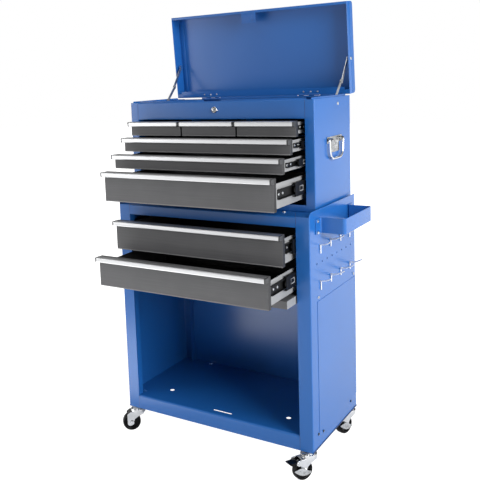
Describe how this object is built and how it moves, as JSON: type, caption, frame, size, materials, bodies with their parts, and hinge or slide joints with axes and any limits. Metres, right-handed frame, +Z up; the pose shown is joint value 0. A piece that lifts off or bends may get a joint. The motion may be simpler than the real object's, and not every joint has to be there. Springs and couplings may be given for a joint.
{
  "type": "tool chest",
  "caption": "rolling tool chest: flip-top chest with till and drawers on a cabinet with deep drawers, an open bay with a stowed pocket door, side push handle, hooks and swivel casters",
  "frame": {"origin": "centre of the bounding box's footprint, on the floor under the casters", "axes": "+Z up, -Y to the front where the drawers open, +X to the side with the push handle"},
  "size_m": [0.6438, 0.5005, 1.1717],
  "materials": {
    "blue_paint": "semi-gloss blue enamel on folded sheet",
    "charcoal_paint": "satin charcoal enamel on folded sheet",
    "chrome": "bright plated steel",
    "dark_metal": "black enamel strip",
    "pull_metal": "satin silver strip with dark end caps",
    "slide_steel": "black coated slide steel",
    "wheel_black": "black moulded tread",
    "zinc_steel": "zinc plated steel"
  },
  "bodies": {
    "cabinet": {"cabinet_left_wall": "blue_paint", "cabinet_right_wall": "blue_paint", "cabinet_back_panel": "blue_paint", "floor_pan": "blue_paint", "cabinet_deck": "blue_paint", "push_handle": "blue_paint", "side_hooks": "chrome", "chest_left_wall": "blue_paint", "chest_right_wall": "blue_paint", "chest_back_panel": "blue_paint", "chest_shelves": "blue_paint", "lock_fascia": "blue_paint", "lock_housing": "chrome", "hinge_leaves": "zinc_steel", "bail_plates": "chrome", "fixed_slides": "slide_steel", "caster_plates": "zinc_steel", "cabinet_fasteners": "zinc_steel"},
    "lid": {"lid_shell": "blue_paint", "lid_hardware": "zinc_steel"},
    "stay_low_left": {"stay_low_left": "zinc_steel"},
    "stay_high_left": {"stay_high_left": "zinc_steel"},
    "bail_left": {"bail_left": "chrome"},
    "stay_low_right": {"stay_low_right": "zinc_steel"},
    "stay_high_right": {"stay_high_right": "zinc_steel"},
    "bail_right": {"bail_right": "chrome"},
    "lock_plug": {"lock_plug": "chrome"},
    "drawer_small_a": {"drawer_small_a_tray": "charcoal_paint", "drawer_small_a_pull": "pull_metal"},
    "drawer_small_b": {"drawer_small_b_tray": "charcoal_paint", "drawer_small_b_pull": "pull_metal"},
    "drawer_small_c": {"drawer_small_c_tray": "charcoal_paint", "drawer_small_c_pull": "pull_metal"},
    "drawer_wide_a": {"drawer_wide_a_tray": "charcoal_paint", "drawer_wide_a_pull": "pull_metal"},
    "slide_middle_wide_a": {"slide_middle_wide_a": "slide_steel"},
    "drawer_wide_b": {"drawer_wide_b_tray": "charcoal_paint", "drawer_wide_b_pull": "pull_metal"},
    "slide_middle_wide_b": {"slide_middle_wide_b": "slide_steel"},
    "drawer_deep_a": {"drawer_deep_a_tray": "charcoal_paint", "drawer_deep_a_pull": "pull_metal"},
    "slide_middle_deep_a": {"slide_middle_deep_a": "slide_steel"},
    "drawer_deep_b": {"drawer_deep_b_tray": "charcoal_paint", "drawer_deep_b_pull": "pull_metal"},
    "slide_middle_deep_b": {"slide_middle_deep_b": "slide_steel"},
    "drawer_deep_c": {"drawer_deep_c_tray": "charcoal_paint", "drawer_deep_c_pull": "pull_metal"},
    "slide_middle_deep_c": {"slide_middle_deep_c": "slide_steel"},
    "caster_front_left": {"caster_fork_front_left": "zinc_steel"},
    "wheel_front_left": {"caster_wheel_front_left": "wheel_black"},
    "caster_front_right": {"caster_fork_front_right": "zinc_steel"},
    "wheel_front_right": {"caster_wheel_front_right": "wheel_black"},
    "brake_pedal_front_right": {"brake_pedal_front_right": "dark_metal"},
    "caster_rear_left": {"caster_fork_rear_left": "zinc_steel"},
    "wheel_rear_left": {"caster_wheel_rear_left": "wheel_black"},
    "caster_rear_right": {"caster_fork_rear_right": "zinc_steel"},
    "wheel_rear_right": {"caster_wheel_rear_right": "wheel_black"},
    "brake_pedal_rear_right": {"brake_pedal_rear_right": "dark_metal"},
    "door_carriage": {"door_rod": "zinc_steel"},
    "bay_door": {"compartment_door": "charcoal_paint"}
  },
  "joints": [
    {"name": "lid_hinge", "type": "hinge", "parent": "cabinet", "child": "lid", "pos_m": [-0.02174, 0.21104, 0.9325], "axis": [1, 0, 0], "range_deg": [0, 85.4]},
    {"name": "stay_low_left_pivot", "type": "hinge", "parent": "cabinet", "child": "stay_low_left", "pos_m": [-0.28114, 0.12304, 0.9108], "axis": [1, 0, 0], "range_deg": [-18.88, 0]},
    {"name": "stay_high_left_pivot", "type": "hinge", "parent": "lid", "child": "stay_high_left", "pos_m": [-0.28114, 0.22056, 1.02401], "axis": [1, 0, 0], "range_deg": [0, 37.18]},
    {"name": "bail_left_swing", "type": "hinge", "parent": "cabinet", "child": "bail_left", "pos_m": [-0.29873, 0.09504, 0.823], "axis": [0, 1, 0], "range_deg": [0, 95]},
    {"name": "stay_low_right_pivot", "type": "hinge", "parent": "cabinet", "child": "stay_low_right", "pos_m": [0.23766, 0.12304, 0.9108], "axis": [1, 0, 0], "range_deg": [-18.88, 0]},
    {"name": "stay_high_right_pivot", "type": "hinge", "parent": "lid", "child": "stay_high_right", "pos_m": [0.23766, 0.22056, 1.02401], "axis": [1, 0, 0], "range_deg": [0, 37.18]},
    {"name": "bail_right_swing", "type": "hinge", "parent": "cabinet", "child": "bail_right", "pos_m": [0.25527, 0.09504, 0.823], "axis": [0, -1, 0], "range_deg": [0, 95]},
    {"name": "lock_turn", "type": "hinge", "parent": "cabinet", "child": "lock_plug", "pos_m": [-0.02404, -0.02896, 0.9064], "axis": [0, -1, 0], "range_deg": [0, 90]},
    {"name": "drawer_small_a_slide", "type": "slide", "parent": "cabinet", "child": "drawer_small_a", "axis": [0, -1, 0], "range_m": [-0.0403, 0.1047]},
    {"name": "drawer_small_b_slide", "type": "slide", "parent": "cabinet", "child": "drawer_small_b", "axis": [0, -1, 0], "range_m": [-0.0403, 0.1047]},
    {"name": "drawer_small_c_slide", "type": "slide", "parent": "cabinet", "child": "drawer_small_c", "axis": [0, -1, 0], "range_m": [-0.0403, 0.1047]},
    {"name": "drawer_wide_a_slide", "type": "slide", "parent": "cabinet", "child": "drawer_wide_a", "axis": [0, -1, 0], "range_m": [-0.0737, 0.1163]},
    {"name": "slide_middle_wide_a_travel", "type": "slide", "parent": "cabinet", "child": "slide_middle_wide_a", "axis": [0, -1, 0], "range_m": [-0.03695, 0.05825]},
    {"name": "drawer_wide_b_slide", "type": "slide", "parent": "cabinet", "child": "drawer_wide_b", "axis": [0, -1, 0], "range_m": [-0.1189, 0.0711]},
    {"name": "slide_middle_wide_b_travel", "type": "slide", "parent": "cabinet", "child": "slide_middle_wide_b", "axis": [0, -1, 0], "range_m": [-0.05955, 0.03565]},
    {"name": "drawer_deep_a_slide", "type": "slide", "parent": "cabinet", "child": "drawer_deep_a", "axis": [0, -1, 0], "range_m": [-0.1659, 0.0241]},
    {"name": "slide_middle_deep_a_travel", "type": "slide", "parent": "cabinet", "child": "slide_middle_deep_a", "axis": [0, -1, 0], "range_m": [-0.08305, 0.01215]},
    {"name": "drawer_deep_b_slide", "type": "slide", "parent": "cabinet", "child": "drawer_deep_b", "axis": [0, -1, 0], "range_m": [-0.0661, 0.1839]},
    {"name": "slide_middle_deep_b_travel", "type": "slide", "parent": "cabinet", "child": "slide_middle_deep_b", "axis": [0, -1, 0], "range_m": [-0.03315, 0.09205]},
    {"name": "drawer_deep_c_slide", "type": "slide", "parent": "cabinet", "child": "drawer_deep_c", "axis": [0, -1, 0], "range_m": [-0.1433, 0.1067]},
    {"name": "slide_middle_deep_c_travel", "type": "slide", "parent": "cabinet", "child": "slide_middle_deep_c", "axis": [0, -1, 0], "range_m": [-0.07175, 0.05345]},
    {"name": "caster_front_left_swivel", "type": "hinge", "parent": "cabinet", "child": "caster_front_left", "pos_m": [-0.28274, -0.07696, 0.06], "axis": [0, 0, 1], "continuous": true},
    {"name": "wheel_front_left_roll", "type": "hinge", "parent": "caster_front_left", "child": "wheel_front_left", "pos_m": [-0.2976, -0.09034, 0.0254], "axis": [0.6691, -0.7431, 0], "continuous": true},
    {"name": "caster_front_right_swivel", "type": "hinge", "parent": "cabinet", "child": "caster_front_right", "pos_m": [0.23927, -0.07696, 0.06], "axis": [0, 0, 1], "continuous": true},
    {"name": "wheel_front_right_roll", "type": "hinge", "parent": "caster_front_right", "child": "wheel_front_right", "pos_m": [0.22926, -0.09428, 0.0254], "axis": [0.866, -0.5, 0], "continuous": true},
    {"name": "brake_pedal_front_right_press", "type": "hinge", "parent": "caster_front_right", "child": "brake_pedal_front_right", "pos_m": [0.21926, -0.1116, 0.049], "axis": [0.866, -0.5, 0], "range_deg": [0, 18]},
    {"name": "caster_rear_left_swivel", "type": "hinge", "parent": "cabinet", "child": "caster_rear_left", "pos_m": [-0.28274, 0.19704, 0.06], "axis": [0, 0, 1], "continuous": true},
    {"name": "wheel_rear_left_roll", "type": "hinge", "parent": "caster_rear_left", "child": "wheel_rear_left", "pos_m": [-0.29421, 0.18066, 0.0254], "axis": [0.8192, -0.5736, 0], "continuous": true},
    {"name": "caster_rear_right_swivel", "type": "hinge", "parent": "cabinet", "child": "caster_rear_right", "pos_m": [0.23927, 0.19704, 0.06], "axis": [0, 0, 1], "continuous": true},
    {"name": "wheel_rear_right_roll", "type": "hinge", "parent": "caster_rear_right", "child": "wheel_rear_right", "pos_m": [0.23308, 0.17802, 0.0254], "axis": [0.9511, -0.309, 0], "continuous": true},
    {"name": "brake_pedal_rear_right_press", "type": "hinge", "parent": "caster_rear_right", "child": "brake_pedal_rear_right", "pos_m": [0.2269, 0.159, 0.049], "axis": [0.9511, -0.309, 0], "range_deg": [0, 18]},
    {"name": "door_carriage_slide", "type": "slide", "parent": "cabinet", "child": "door_carriage", "axis": [0, -1, 0], "range_m": [0, 0.28]},
    {"name": "bay_door_swing", "type": "hinge", "parent": "door_carriage", "child": "bay_door", "pos_m": [-0.02174, 0.20004, 0.451], "axis": [1, 0, 0], "range_deg": [0, 90]}
  ],
  "couplings": [
    {"joint": "stay_low_left_pivot", "follows": "lid_hinge", "ratio": -0.21993},
    {"joint": "stay_high_left_pivot", "follows": "lid_hinge", "ratio": 0.43417},
    {"joint": "stay_low_right_pivot", "follows": "lid_hinge", "ratio": -0.21993},
    {"joint": "stay_high_right_pivot", "follows": "lid_hinge", "ratio": 0.43417},
    {"joint": "slide_middle_wide_a_travel", "follows": "drawer_wide_a_slide", "ratio": 0.5},
    {"joint": "slide_middle_wide_b_travel", "follows": "drawer_wide_b_slide", "ratio": 0.5},
    {"joint": "slide_middle_deep_a_travel", "follows": "drawer_deep_a_slide", "ratio": 0.5},
    {"joint": "slide_middle_deep_b_travel", "follows": "drawer_deep_b_slide", "ratio": 0.5},
    {"joint": "slide_middle_deep_c_travel", "follows": "drawer_deep_c_slide", "ratio": 0.5}
  ]
}
